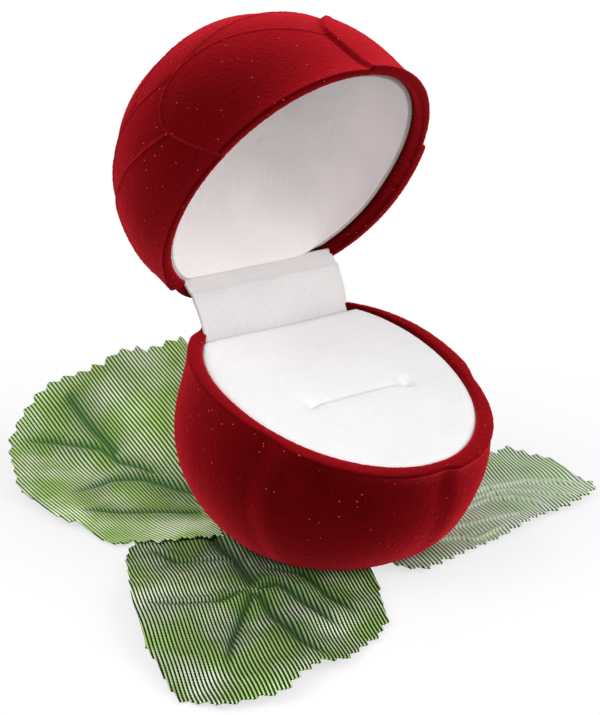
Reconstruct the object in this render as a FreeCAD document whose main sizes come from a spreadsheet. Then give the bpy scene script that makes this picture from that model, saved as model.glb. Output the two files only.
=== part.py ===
import FreeCAD, Part
import math
import os
import Sketcher
from FreeCAD import Placement, Rotation, Vector

# A rose-shaped ring box: a flocked bowl and lid that meet on a slanted parting plane, hinged at
# the back by a small sprung steel hinge, with a foam ring pad, a lined lid and three cloth leaves.
# Millimetres, +Z up. The origin is the centre of the underside, on the rose's upright axis. The
# front is -Y, the hinge runs along X, and the box is modelled open, as it stands on its spring.

doc = FreeCAD.newDocument("rose_ring_box")
sheet = doc.addObject("Spreadsheet::Sheet", "Dimensions")

DIMENSIONS = (
    # the disc under the foot, and the leaves it clamps
    ("disc_radius", 12.0), ("disc_thickness", 0.8), ("leaf_thickness", 0.35), ("leaf_seat", 0.05),
    ("leaf_root", 5.5), ("leaf_root_width", 9.0), ("fold_start", 16.2),
    # the rose: parting plane, bowl and lid
    ("rim_height", 25.55), ("rim_tilt", 15.5), ("rim_side", 21.0), ("rim_front", 26.4),
    ("rim_back", 22.2), ("rim_corner", 2.25), ("foot_radius", 15.3), ("belly_radius", 23.4),
    ("belly_height", 17.0), ("lid_radius", 24.0), ("lid_belly_height", 34.5), ("lid_top", 55.8),
    ("shell_wall", 2.3), ("floor_height", 3.4), ("seam_gap", 0.1),
    # the petals moulded on the outside
    ("petal_count", 5), ("petal_turn", -66.0), ("petal_step", 0.9), ("petal_bulge", 0.5),
    ("whorl_inset", 0.5), ("inner_petal_count", 4), ("inner_turn", -47.0),
    ("bud_petal_count", 3), ("bud_inset", 1.2), ("tip_radius", 15.2), ("tip_height", 41.0),
    ("tip_lean", 2.6), ("inner_tip_radius", 17.0), ("inner_tip_height", 46.0),
    # the pad and its card
    ("pad_back", 14.3), ("pad_clearance", 0.3), ("pad_recess", 0.1), ("pad_crown", 0.9),
    ("pad_bevel", 1.6), ("pad_taper", 2.0), ("pad_depth", 12.0), ("card_thickness", 1.0),
    ("rib_thickness", 1.2), ("slot_length", 17.5), ("slot_width", 0.8), ("slot_depth", 8.0),
    ("slot_forward", 6.1),
    # the hinge
    ("hinge_back", 22.8), ("hinge_drop", 1.0), ("hinge_width", 17.6), ("open_angle", 69.0),
    ("pin_radius", 0.6), ("pin_clearance", 0.05), ("pin_chamfer", 0.15),
    ("knuckle_wall", 0.45), ("knuckle_length", 3.7), ("knuckle_gap", 0.15), ("plate_thickness", 0.5), ("plate_height", 8.0), ("land_depth", 1.0),
    ("notch_clearance", 0.3), ("rivet_radius", 0.8), ("rivet_head_radius", 1.4),
    ("rivet_head", 0.4), ("rivet_spacing", 11.0), ("rivet_drop", 5.5), ("rivet_clearance", 0.05),
    ("spring_width", 4.4), ("spring_thickness", 0.3), ("spring_bow", 2.8), ("spring_low", 5.2),
    ("spring_high", 1.0),
    # the lid's former and lining, and the strip that hides the hinge
    ("lining_recess", 1.1), ("lining_back", 16.4),
    ("former_clearance", 0.15), ("former_thickness", 0.8), ("lining_thickness", 0.6),
    ("cover_width", 20.4), ("cover_thickness", 0.5), ("cover_tuck", 2.5), ("cover_foot", 14.9),
    ("cover_gap", 0.3), ("cover_bow", 2.0),
    # each leaf: its turn about the axis, its length, its half-widths to both sides at four
    # stations, and how high each of its folds rises over the leaf's own length
    ("leaf_left_turn", 122.0), ("leaf_left_length", 56.0),
    ("leaf_left_ccw_width1", 7.0), ("leaf_left_ccw_width2", 17.0),
    ("leaf_left_ccw_width3", 9.8), ("leaf_left_ccw_width4", 4.5),
    ("leaf_left_cw_width1", 21.0), ("leaf_left_cw_width2", 25.0),
    ("leaf_left_cw_width3", 17.3), ("leaf_left_cw_width4", 9.0),
    ("leaf_left_ccw_edge_rise", -1.2), ("leaf_left_ccw_vein_rise", 1.5),
    ("leaf_left_midrib_rise", 6.0), ("leaf_left_cw_vein_rise", 21.0),
    ("leaf_left_cw_edge_rise", 33.0),
    ("leaf_front_turn", 214.0), ("leaf_front_length", 55.5),
    ("leaf_front_ccw_width1", 9.0), ("leaf_front_ccw_width2", 16.6),
    ("leaf_front_ccw_width3", 12.0), ("leaf_front_ccw_width4", 5.5),
    ("leaf_front_cw_width1", 15.5), ("leaf_front_cw_width2", 21.0),
    ("leaf_front_cw_width3", 10.5), ("leaf_front_cw_width4", 3.2),
    ("leaf_front_ccw_edge_rise", -1.0), ("leaf_front_ccw_vein_rise", 2.0),
    ("leaf_front_midrib_rise", -0.8), ("leaf_front_cw_vein_rise", 3.0),
    ("leaf_front_cw_edge_rise", 4.0),
    ("leaf_right_turn", 351.0), ("leaf_right_length", 45.0),
    ("leaf_right_ccw_width1", 8.0), ("leaf_right_ccw_width2", 13.0),
    ("leaf_right_ccw_width3", 12.6), ("leaf_right_ccw_width4", 5.5),
    ("leaf_right_cw_width1", 16.6), ("leaf_right_cw_width2", 12.8),
    ("leaf_right_cw_width3", 8.2), ("leaf_right_cw_width4", 3.8),
    ("leaf_right_ccw_edge_rise", 4.0), ("leaf_right_ccw_vein_rise", 1.0),
    ("leaf_right_midrib_rise", 0.5), ("leaf_right_cw_vein_rise", 0.5),
    ("leaf_right_cw_edge_rise", 1.0),
)
for row, (alias, value) in enumerate(DIMENSIONS, start=1):
    sheet.set(f"A{row}", alias)
    sheet.set(f"B{row}", str(value))
    sheet.setAlias(f"B{row}", alias)
doc.recompute()
size = {alias: float(sheet.get(alias)) for alias, value in DIMENSIONS}

AXIS = Vector(0, 0, 1)
HINGE_LINE = Vector(1, 0, 0)
FACET_TURN = 12.0
EGG_POINTS = 24
parts = {}


def keep(node, name):
    """Names a finished sub-part, so that it is checked and written."""
    node.Label = name
    parts[name] = node
    return node


def bind(node, **expressions):
    """Binds the properties of a primitive to cells of the sheet."""
    for name, expression in expressions.items():
        node.setExpression(name.replace("__", "."), expression)
    return node


def solid_of(kind, name, **expressions):
    return bind(doc.addObject(kind, name), **expressions)


def boolean(kind, name, first, second):
    node = doc.addObject(kind, name)
    if kind in ("Part::MultiFuse", "Part::MultiCommon"):
        node.Shapes = [first, *second]
    else:
        node.Base, node.Tool = first, second
    return node


# ---- the rose's form --------------------------------------------------------------------------
foot_height = size["disc_thickness"] + size["leaf_thickness"] + size["leaf_seat"]
tilt = size["rim_tilt"]
RIM = Placement(Vector(0, 0, size["rim_height"]), Rotation(HINGE_LINE, tilt))


def egg_point(turn, plane_radii, inset=0.0):
    """The place on the rim's egg whose outward normal points at turn: 0 front, 90 right.

    Places with one normal on two eggs are joined by straight lines, so the sheet between the
    eggs is a bent one, with no twist.
    """
    side, front, back = plane_radii
    across = math.sin(math.radians(turn))
    along = math.cos(math.radians(turn))
    reach, power = (front, 2) if along > 0 else (back, size["rim_corner"])
    rise_x = (side * abs(across)) ** (1 / (power - 1))
    rise_y = (reach * abs(along)) ** (1 / (power - 1))
    span = (rise_x ** power + rise_y ** power) ** (1 / power)
    x = math.copysign(side * rise_x / span, across) - inset * across
    y = math.copysign(reach * rise_y / span, along) - inset * along
    return Vector(x, -y, 0), Vector(across, -along, 0)


def level(to_rim, height, radius):
    """A level of the rose: its plane, and its radii to the side, the front and the back.

    Away from the rim the rose is round and level. Towards it, the levels tilt and swell out.
    """
    swell = to_rim ** 4
    plane = Placement(Vector(0, 0, height), Rotation(HINGE_LINE, size["rim_tilt"] * to_rim))
    rim_radii = (size["rim_side"], size["rim_front"], size["rim_back"])
    return plane, tuple(radius + (rim_radius - radius) * swell for rim_radius in rim_radii)


foot_turn = math.acos(size["foot_radius"] / size["belly_radius"])
bowl_reach = (size["belly_height"] - foot_height) / math.sin(foot_turn)
bowl_rim_turn = math.asin((size["rim_height"] - size["belly_height"]) / bowl_reach)


def bowl_share(height):
    """Where a height stands between the foot at 0 and the rim at 1, by turns of the profile."""
    turn = math.asin((height - size["belly_height"]) / bowl_reach)
    return (turn + foot_turn) / (foot_turn + bowl_rim_turn)


def bowl_level(share):
    """A level of the bowl, from its foot at 0 to the rim at 1, by equal turns of its profile."""
    turn = -foot_turn + share * (foot_turn + bowl_rim_turn)
    height = size["belly_height"] + bowl_reach * math.sin(turn)
    to_rim = (height - foot_height) / (size["rim_height"] - foot_height)
    return level(to_rim, height, size["belly_radius"] * math.cos(turn))


def lid_level(share):
    """A level of the lid, from the rim at 0 to the crown at 1, by equal turns of its profile."""
    rise = size["lid_top"] - size["lid_belly_height"]
    rim_turn = math.asin((size["rim_height"] - size["lid_belly_height"]) / rise)
    turn = rim_turn + share * (math.radians(90) - rim_turn)
    height = size["lid_belly_height"] + rise * math.sin(turn)
    to_rim = (size["lid_top"] - height) / (size["lid_top"] - size["rim_height"])
    return level(to_rim, height, size["lid_radius"] * math.cos(turn))


def egg_ring(plane, radii, inset=0.0):
    """The corners of a plain level, set in from the level's own line."""
    turns = [360.0 * i / EGG_POINTS for i in range(EGG_POINTS)]
    return [plane.multVec(egg_point(turn, radii, inset)[0]) for turn in turns]


def petal_ring(plane, radii, inset, count, turn, step):
    """The corners of a level of overlapping petals: each left edge stands a step over the last."""
    corners = []
    petals = int(count)
    facets = round(360.0 / petals / FACET_TURN)
    bow = size["petal_bulge"] * step / size["petal_step"]
    for petal in range(petals):
        for i in range(facets + 1):
            share = i / facets
            place, outward = egg_point(turn + 360.0 * (petal + share) / petals, radii, inset)
            stand = step * (0.5 - share) + bow * math.sin(math.pi * share)
            corners.append(plane.multVec(place + outward * stand))
    return corners


def faceted(name, rings):
    """A closed solid of flat facets through rings of corners, with a flat end at each end ring."""
    faces = [Part.Face(Part.makePolygon([*ring, ring[0]])) for ring in (rings[0], rings[-1])]
    for low, high in zip(rings, rings[1:]):
        for i, corner in enumerate(low):
            after = (i + 1) % len(low)
            faces.append(Part.Face(Part.makePolygon([corner, low[after], high[after], corner])))
            faces.append(Part.Face(Part.makePolygon([corner, high[after], high[i], corner])))
    node = doc.addObject("Part::Feature", name)
    node.Shape = Part.Solid(Part.Shell(faces))
    return node


def shares(first, last, bands):
    return [first + (last - first) * i / bands for i in range(bands + 1)]


def rim_plane(height):
    return RIM.multiply(Placement(Vector(0, 0, height), Rotation()))


# ---- the bowl ---------------------------------------------------------------------------------
BOWL_BANDS = 7
FOOT_RELIEF = 0.35
bowl_rings = []
for share in shares(0, 1, BOWL_BANDS):
    relief = size["petal_step"] * (FOOT_RELIEF + (1 - FOOT_RELIEF) * share)
    plane, radii = bowl_level(share)
    bowl_rings.append(
        petal_ring(plane, radii, 0, size["petal_count"], size["petal_turn"], relief)
    )
bowl_outer = faceted("bowl_outer", bowl_rings)

OVERSHOOT = 1.5
RIM_RADII = (size["rim_side"], size["rim_front"], size["rim_back"])
CAVITY_BANDS = 5
floor_share = bowl_share(size["floor_height"])
bowl_cavity_rings = [
    egg_ring(*bowl_level(share), size["shell_wall"]) for share in shares(floor_share, 1, CAVITY_BANDS)
]
bowl_cavity_rings.append(egg_ring(rim_plane(OVERSHOOT), RIM_RADII, size["shell_wall"]))
bowl_cavity = faceted("bowl_cavity", bowl_cavity_rings)

# Crossed ribs on the floor carry the pad's card.
card_top = -(size["pad_recess"] + size["pad_depth"])
card_under = card_top - size["card_thickness"]
UNDER_CARD = rim_plane(card_under)
ribs = []
for i, turn in enumerate((0, 90)):
    rib = solid_of(
        "Part::Box", f"bowl_rib{i}", Length="2 * Dimensions.belly_radius",
        Width="Dimensions.rib_thickness", Height="Dimensions.rim_height",
    )
    back_half = Vector(-size["belly_radius"], -size["rib_thickness"] / 2, foot_height)
    rib.Placement = Placement(Vector(), Rotation(AXIS, turn)).multiply(
        Placement(back_half, Rotation())
    )
    ribs.append(rib)
rib_cross = boolean("Part::MultiFuse", "rib_cross", ribs[0], ribs[1:])
over_ribs = solid_of(
    "Part::Box", "over_ribs", Length="4 * Dimensions.belly_radius",
    Width="4 * Dimensions.belly_radius", Height="2 * Dimensions.rim_height",
)
corner = Vector(-2 * size["belly_radius"], -2 * size["belly_radius"], 0)
over_ribs.Placement = UNDER_CARD.multiply(Placement(corner, Rotation()))
low_ribs = boolean("Part::Cut", "low_ribs", rib_cross, over_ribs)

# The hinge's land: a thick flat behind the plate, notched at the rim for the knuckles.
knuckle_radius = size["pin_radius"] + size["pin_clearance"] + size["knuckle_wall"]
land_front = size["rim_back"] - size["shell_wall"] - size["land_depth"]
land_width = size["hinge_width"] + 2 * size["land_depth"]
notch_width = size["hinge_width"] + 2 * size["notch_clearance"]
plate_low = -size["hinge_drop"] - knuckle_radius
plate_high = -size["hinge_drop"] + knuckle_radius
DEEP = 12.0
pocket_depth = 3 * size["land_depth"]


def rim_box(name, low, high):
    """A box in the parting plane's own frame, between two corners."""
    box = doc.addObject("Part::Box", name)
    box.Length, box.Width, box.Height = (high - low)
    box.Placement = RIM.multiply(Placement(low, Rotation()))
    return box


def rim_rod(name, radius_cell, start, direction, length):
    """A round rod in the parting plane's own frame."""
    rod = solid_of("Part::Cylinder", name, Radius=radius_cell)
    rod.Height = length
    rod.Placement = RIM.multiply(Placement(start, Rotation(AXIS, direction)))
    return rod


def rivet_rods(name, radius_cell, start_y, length, height):
    """A rod at each of a plate's two rivets, running backwards from start_y."""
    return [
        rim_rod(
            f"{name}{i}", radius_cell, Vector(side * size["rivet_spacing"] / 2, start_y, height),
            Vector(0, 1, 0), length,
        )
        for i, side in enumerate((-1, 1))
    ]


rivet_low = plate_low - size["rivet_drop"]
rivet_high = plate_high + size["rivet_drop"] - size["plate_thickness"]
rivet_length = size["rivet_head"] + size["plate_thickness"] + size["land_depth"]
plate_front = land_front - size["plate_thickness"]
HOLE = "Dimensions.rivet_radius + Dimensions.rivet_clearance"

bowl_land_block = rim_box(
    "bowl_land_block",
    Vector(-land_width / 2, land_front, plate_low - size["plate_height"] - size["land_depth"]),
    Vector(land_width / 2, size["rim_back"] + DEEP, 0),
)
bowl_notch = rim_box(
    "bowl_notch",
    Vector(-notch_width / 2, land_front - DEEP, plate_low - size["notch_clearance"]),
    Vector(notch_width / 2, size["rim_back"] + DEEP, DEEP),
)
bowl_pocket = rim_box(
    "bowl_pocket",
    Vector(-notch_width / 2, land_front - pocket_depth, plate_low - size["plate_height"]),
    Vector(notch_width / 2, land_front, OVERSHOOT),
)
bowl_hollow = boolean(
    "Part::Cut", "bowl_hollow",
    boolean("Part::Fuse", "bowl_space", bowl_cavity, bowl_pocket),
    boolean("Part::Fuse", "bowl_filled", bowl_land_block, low_ribs),
)
bowl_open = boolean("Part::Cut", "bowl_open", bowl_outer, bowl_hollow)
bowl_holes = boolean(
    "Part::MultiFuse", "bowl_holes", bowl_notch,
    rivet_rods("bowl_hole", HOLE, land_front - size["rivet_head"], rivet_length, rivet_low),
)
keep(boolean("Part::Cut", "base_shell", bowl_open, bowl_holes), "base_shell")


# ---- the lid: two whorls of petals round a bud, modelled shut and then swung open -------------
HINGE = RIM.multiply(Placement(Vector(0, size["hinge_back"], -size["hinge_drop"]), Rotation()))
OPEN = Placement(Vector(), Rotation(HINGE_LINE, -size["open_angle"]), HINGE.Base)
LID_BANDS = 9
CROWN_RELIEF = 0.5


def whorl(name, first, last, inset, count, turn):
    """A ring of overlapping petals, between two levels of the lid."""
    rings = []
    for share in shares(first, last, round(LID_BANDS * (last - first))):
        plane, radii = lid_level(share)
        relief = size["petal_step"] * (1 - CROWN_RELIEF * share)
        rings.append(petal_ring(plane, radii, inset, count, turn, relief))
    return faceted(name, rings)


def tipped(name, petals, count, turn, radius_cell, height):
    """A whorl cut to its petals' round tips, by a round-topped window for each petal."""
    windows = []
    radius = size[radius_cell]
    for petal in range(int(count)):
        azimuth = turn + 360.0 * (petal + 0.5) / count
        lean = size["tip_lean"] * math.cos(math.radians(azimuth - size["petal_turn"] - 180 / count))
        outward = Rotation(AXIS, azimuth)
        arch = solid_of(
            "Part::Cylinder", f"{name}_arch{petal}", Radius=f"Dimensions.{radius_cell}",
            Height="2 * Dimensions.lid_radius",
        )
        centre = Vector(0, 0, height - lean - radius)
        to_front = Rotation(AXIS, Vector(0, -1, 0))
        arch.Placement = Placement(centre, outward.multiply(to_front))
        side = solid_of(
            "Part::Box", f"{name}_side{petal}", Length=f"2 * Dimensions.{radius_cell}",
            Width="2 * Dimensions.lid_radius", Height="Dimensions.lid_top",
        )
        low = Placement(Vector(-radius, -2 * size["lid_radius"], -size["lid_top"]), Rotation())
        side.Placement = Placement(centre, outward).multiply(low)
        windows.extend((arch, side))
    tips = boolean("Part::MultiFuse", f"{name}_tips", windows[0], windows[1:])
    return boolean("Part::MultiCommon", f"{name}_petals", petals, [tips])


OUTER_SPAN = (0, 0.6)
INNER_SPAN = (0.2, 0.7)
BUD_SPAN = (0.4, 0.93)
outer_whorl = whorl("outer_whorl", *OUTER_SPAN, 0, size["petal_count"], size["petal_turn"])
outer_petals = tipped(
    "outer", outer_whorl, size["petal_count"], size["petal_turn"], "tip_radius",
    size["tip_height"],
)
inner_whorl = whorl(
    "inner_whorl", *INNER_SPAN, size["whorl_inset"], size["inner_petal_count"],
    size["inner_turn"],
)
inner_petals = tipped(
    "inner", inner_whorl, size["inner_petal_count"], size["inner_turn"], "inner_tip_radius",
    size["inner_tip_height"],
)
bud = whorl(
    "bud", *BUD_SPAN, size["bud_inset"], size["bud_petal_count"], size["petal_turn"]
)
rose_top = boolean("Part::MultiFuse", "rose_top", bud, [inner_petals, outer_petals])

lid_cavity_rings = [egg_ring(rim_plane(-OVERSHOOT), RIM_RADII, size["shell_wall"])]
CAVITY_TOP = 0.8
LID_CAVITY = shares(0, CAVITY_TOP, CAVITY_BANDS)
for share in LID_CAVITY:
    wall = size["shell_wall"] + size["bud_inset"] * share
    lid_cavity_rings.append(egg_ring(*lid_level(share), wall))
lid_cavity = faceted("lid_cavity", lid_cavity_rings)
lid_land_block = rim_box(
    "lid_land_block",
    Vector(-land_width / 2, land_front, 0),
    Vector(land_width / 2, size["rim_back"] + DEEP,
           plate_high + size["plate_height"] + size["land_depth"]),
)
lid_pocket = rim_box(
    "lid_pocket",
    Vector(-notch_width / 2, land_front - pocket_depth, -OVERSHOOT),
    Vector(notch_width / 2, land_front, plate_high + size["plate_height"]),
)
lid_hollow = boolean(
    "Part::Cut", "lid_hollow",
    boolean("Part::Fuse", "lid_space", lid_cavity, lid_pocket), lid_land_block,
)
lid_open = boolean("Part::Cut", "lid_open", rose_top, lid_hollow)
lid_notch = rim_box(
    "lid_notch",
    Vector(-notch_width / 2, land_front - DEEP, -DEEP),
    Vector(notch_width / 2, size["rim_back"] + DEEP, plate_high + size["notch_clearance"]),
)
wide = 2 * size["rim_front"]
lid_seam = rim_box(
    "lid_seam", Vector(-wide, -wide, -DEEP), Vector(wide, wide, size["seam_gap"])
)
lid_holes = boolean(
    "Part::MultiFuse", "lid_holes", lid_notch,
    [lid_seam]
    + rivet_rods("lid_hole", HOLE, land_front - size["rivet_head"], rivet_length, rivet_high),
)
lid_shell = boolean("Part::Cut", "lid_shell", lid_open, lid_holes)
lid_shell.Placement = OPEN
keep(lid_shell, "lid_shell")

# The former and the lining are cups that follow the cavity up to a flat crown. Both are cut
# straight across at the back, in front of the hinge.
CUP_PULL = ((LID_CAVITY[0], 0.0), (LID_CAVITY[1], 0.6), (0.31, 2.0), (0.38, 6.5))


def before(name, blank, back_cut, low=None):
    """The part of a blank above low and in front of a plane square to the parting plane."""
    reach = 2 * size["rim_front"]
    low = -reach if low is None else low
    block = rim_box(f"{name}_front", Vector(-reach, -reach, low), Vector(reach, back_cut, reach))
    return boolean("Part::Common", f"{name}_cut", blank, block)


def cup_blank(name, inset, back_cut, low, drop):
    """A cup's outside or inside, with its crown lowered by drop."""
    rings = [egg_ring(rim_plane(-OVERSHOOT), RIM_RADII, inset)]
    for share, pull in CUP_PULL:
        plane, radii = lid_level(share)
        if share == CUP_PULL[-1][0]:
            plane = Placement(AXIS * -drop, Rotation()).multiply(plane)
        rings.append(egg_ring(plane, radii, inset + pull))
    return before(name, faceted(name, rings), back_cut, low)


def cup(name, inset, back_cut, drop, thickness):
    outside = cup_blank(f"{name}_outside", inset, back_cut, size["lining_recess"], drop)
    inside = cup_blank(
        f"{name}_inside", inset + thickness, back_cut - thickness, -OVERSHOOT, drop + thickness
    )
    node = boolean("Part::Cut", name, outside, inside)
    node.Placement = OPEN
    return keep(node, name)


lining_inset = size["shell_wall"] + size["former_clearance"] + size["former_thickness"]
lining_back = size["lining_back"] + size["lining_thickness"]
former_back = lining_back + size["former_thickness"]
cup("lid_former", size["shell_wall"] + size["former_clearance"], former_back, 0,
    size["former_thickness"])
cup("lid_lining", lining_inset, lining_back, size["former_thickness"], size["lining_thickness"])


# ---- the ring pad and its card ----------------------------------------------------------------
pad_inset = size["shell_wall"] + size["pad_clearance"]


def pad_ring(height, inset):
    return egg_ring(rim_plane(height), RIM_RADII, inset)


tapered = pad_inset + size["pad_taper"]
card_blank = faceted("card_blank", [pad_ring(card_under, tapered), pad_ring(card_top, tapered)])
keep(before("pad_card", card_blank, size["pad_back"]), "pad_card")

pad_edge = -(size["pad_recess"] + size["pad_crown"])
PAD_ROUND = 0.65
pad_blank = faceted(
    "pad_blank",
    [
        pad_ring(card_top, tapered),
        pad_ring(pad_edge, pad_inset),
        pad_ring(pad_edge + size["pad_crown"] * PAD_ROUND,
                 pad_inset + size["pad_bevel"] * (1 - PAD_ROUND)),
        pad_ring(-size["pad_recess"], pad_inset + size["pad_bevel"]),
    ],
)
pad_block = before("pad_block", pad_blank, size["pad_back"])
ring_slot = solid_of(
    "Part::Box", "ring_slot", Length="Dimensions.slot_length", Width="Dimensions.slot_width",
    Height="Dimensions.slot_depth + Dimensions.pad_recess",
)
slot_corner = Vector(-size["slot_length"] / 2, -size["slot_forward"] - size["slot_width"] / 2,
                     -size["slot_depth"] - size["pad_recess"])
ring_slot.Placement = RIM.multiply(Placement(slot_corner, Rotation()))
keep(boolean("Part::Cut", "ring_pad", pad_block, ring_slot), "ring_pad")


# ---- the hinge --------------------------------------------------------------------------------
bore_radius = "Dimensions.pin_radius + Dimensions.pin_clearance"
outer_radius = f"{bore_radius} + Dimensions.knuckle_wall"
half_hinge = size["hinge_width"] / 2
outer_start = half_hinge - size["knuckle_length"]
inner_end = outer_start - size["knuckle_gap"]
inner_start = inner_end - size["knuckle_length"]


def hinge_plate(name, knuckle_starts, gap_starts, low, high, tongue_low, rivet_height):
    """A pressed leaf: an upright plate, a tongue back to the pin, and its rolled knuckles."""
    front = plate_front
    upright = rim_box(f"{name}_upright", Vector(-half_hinge, front, low),
                      Vector(half_hinge, land_front, high))
    tongue = rim_box(
        f"{name}_tongue", Vector(-half_hinge, front, tongue_low),
        Vector(half_hinge, size["hinge_back"], tongue_low + size["plate_thickness"]),
    )
    solids = [tongue]
    holes = rivet_rods(f"{name}_hole", HOLE, front - size["rivet_head"], rivet_length,
                       rivet_height)
    for i, start in enumerate(knuckle_starts):
        place = Vector(start, size["hinge_back"], -size["hinge_drop"])
        solids.append(rim_rod(f"{name}_knuckle{i}", outer_radius, place, HINGE_LINE,
                              size["knuckle_length"]))
        longer = place - HINGE_LINE * size["knuckle_gap"]
        holes.append(rim_rod(f"{name}_bore{i}", bore_radius, longer, HINGE_LINE,
                             size["knuckle_length"] + 2 * size["knuckle_gap"]))
    reach = knuckle_radius + size["knuckle_gap"]
    for i, (start, end) in enumerate(gap_starts):
        holes.append(
            rim_box(
                f"{name}_gap{i}",
                Vector(start, size["hinge_back"] - reach, tongue_low - knuckle_radius),
                Vector(end, size["hinge_back"] + reach, tongue_low + 2 * knuckle_radius),
            )
        )
    whole = boolean("Part::MultiFuse", f"{name}_whole", upright, solids)
    cutters = boolean("Part::MultiFuse", f"{name}_cutters", holes[0], holes[1:])
    return boolean("Part::Cut", name, whole, cutters)


base_plate = hinge_plate(
    "hinge_base_plate", (-half_hinge, outer_start), ((-outer_start, outer_start),),
    plate_low - size["plate_height"] + size["plate_thickness"], plate_low, plate_low, rivet_low,
)
keep(base_plate, "hinge_base_plate")
beyond = half_hinge + size["knuckle_gap"]
lid_plate = hinge_plate(
    "hinge_lid_plate", (-inner_end, inner_start),
    ((-beyond, -inner_end), (-inner_start, inner_start), (inner_end, beyond)),
    plate_high - size["plate_thickness"],
    plate_high - size["plate_thickness"] + size["plate_height"],
    plate_high - size["plate_thickness"], rivet_high,
)
lid_plate.Placement = OPEN
keep(lid_plate, "hinge_lid_plate")

# The pin: a straight wire with chamfered ends, through all four knuckles.
pin = doc.addObject("PartDesign::Body", "pin_body")
pin_sketch = pin.newObject("Sketcher::SketchObject", "pin_circle")
origin_planes = {feature.Role: feature for feature in pin.Origin.OriginFeatures}
pin_sketch.AttachmentSupport = [(origin_planes["YZ_Plane"], "")]
pin_sketch.MapMode = "FlatFace"
circle = pin_sketch.addGeometry(Part.Circle(Vector(), AXIS, size["pin_radius"]), False)
pin_sketch.addConstraint(Sketcher.Constraint("Coincident", circle, 3, -1, 1))
pin_sketch.addConstraint(Sketcher.Constraint("Radius", circle, size["pin_radius"]))
pin_sketch.renameConstraint(1, "pin_radius")
pin_sketch.setExpression("Constraints.pin_radius", "Dimensions.pin_radius")
pin_pad = pin.newObject("PartDesign::Pad", "pin_pad")
pin_pad.Profile = pin_sketch
pin_pad.setExpression("Length", "Dimensions.hinge_width")
pin_pad.Midplane = True
pin_chamfer = pin.newObject("PartDesign::Chamfer", "pin_chamfer")
doc.recompute()
ends = [i for i, face in enumerate(pin_pad.Shape.Faces, start=1) if face.Surface.TypeId == "Part::GeomPlane"]
pin_chamfer.Base = (pin_pad, [f"Face{i}" for i in ends])
pin_chamfer.setExpression("Size", "Dimensions.pin_chamfer")
pin.Placement = HINGE
doc.recompute()
keep(pin, "hinge_pin")


def rivets(name, height):
    """Two flat-headed rivets, seated on the plate and reaching into the shell's land."""
    heads = rivet_rods(f"{name}_head", "Dimensions.rivet_head_radius",
                       plate_front - size["rivet_head"], size["rivet_head"], height)
    shanks = rivet_rods(f"{name}_shank", "Dimensions.rivet_radius",
                        plate_front - size["rivet_head"], rivet_length, height)
    pair = [
        boolean("Part::Fuse", f"{name}_one{i}", head, shank)
        for i, (head, shank) in enumerate(zip(heads, shanks))
    ]
    group = doc.addObject("Part::Compound", name)
    group.Links = pair
    return group


keep(rivets("base_rivets", rivet_low), "base_rivets")
lid_rivets = rivets("lid_rivets", rivet_high)
lid_rivets.Placement = OPEN
keep(lid_rivets, "lid_rivets")


def bent_strip(name, start, middle, end, thickness, width):
    """A strip bent to an arc through three places of the parting plane's frame, at x = 0."""
    path = Part.Arc(start, middle, end).toShape()
    centre = path.Curve.Center
    radius = path.Curve.Radius
    inner = [centre + (point - centre) * ((radius - thickness) / radius)
             for point in (start, middle, end)]
    face = Part.Face(Part.Wire([
        path,
        Part.makeLine(end, inner[2]),
        Part.Arc(*inner).toShape(),
        Part.makeLine(inner[0], start),
    ]))
    outline = doc.addObject("Part::Feature", f"{name}_outline")
    outline.Shape = face
    outline.Placement = RIM.multiply(Placement(HINGE_LINE * (-width / 2), Rotation()))
    node = doc.addObject("Part::Extrusion", name)
    node.Base = outline
    node.DirMode = "Custom"
    node.Dir = HINGE_LINE
    node.Solid = False
    node.LengthFwd = width
    return keep(node, name)


def opened(point):
    """Where a place of the shut lid, in the parting plane's frame, stands when it is open."""
    return RIM.inverse().multVec(OPEN.multVec(RIM.multVec(point)))


seat = size["spring_thickness"]
spring_low = Vector(0, plate_front - seat, -size["spring_low"])
spring_high = opened(Vector(0, plate_front - seat, size["spring_high"]))
chord = spring_high - spring_low
forward = Vector(0, -chord.z, chord.y).normalize()
bow = (spring_low + spring_high) * 0.5 + forward * size["spring_bow"]
bent_strip("hinge_spring", spring_low, bow, spring_high, size["spring_thickness"],
           size["spring_width"])

cover_low = Vector(0, size["cover_foot"], -size["cover_tuck"])
cover_high = opened(Vector(0, size["lining_back"], size["lining_recess"] - size["cover_gap"]))
chord = cover_high - cover_low
forward = Vector(0, -chord.z, chord.y).normalize()
bow = (cover_low + cover_high) * 0.5 + forward * size["cover_bow"]
bent_strip("hinge_cover", cover_low, bow, cover_high, size["cover_thickness"],
           size["cover_width"])


# ---- the leaves and the disc that clamps them -------------------------------------------------
LEAVES = ("leaf_left", "leaf_front", "leaf_right")
# Where along a leaf its four half-widths are taken.
STATIONS = (0.2, 0.5, 0.8, 0.95)
# The leaf's folds fan out from beside the foot. Behind it, the root lies flat.
FOLDS = (
    ("root_flat", -180), ("cw_flat", -82), ("cw_edge", -48), ("cw_vein", -22), ("midrib", 0),
    ("ccw_vein", 22), ("ccw_edge", 48), ("ccw_flat", 82),
)
FAR = 2.0


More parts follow.
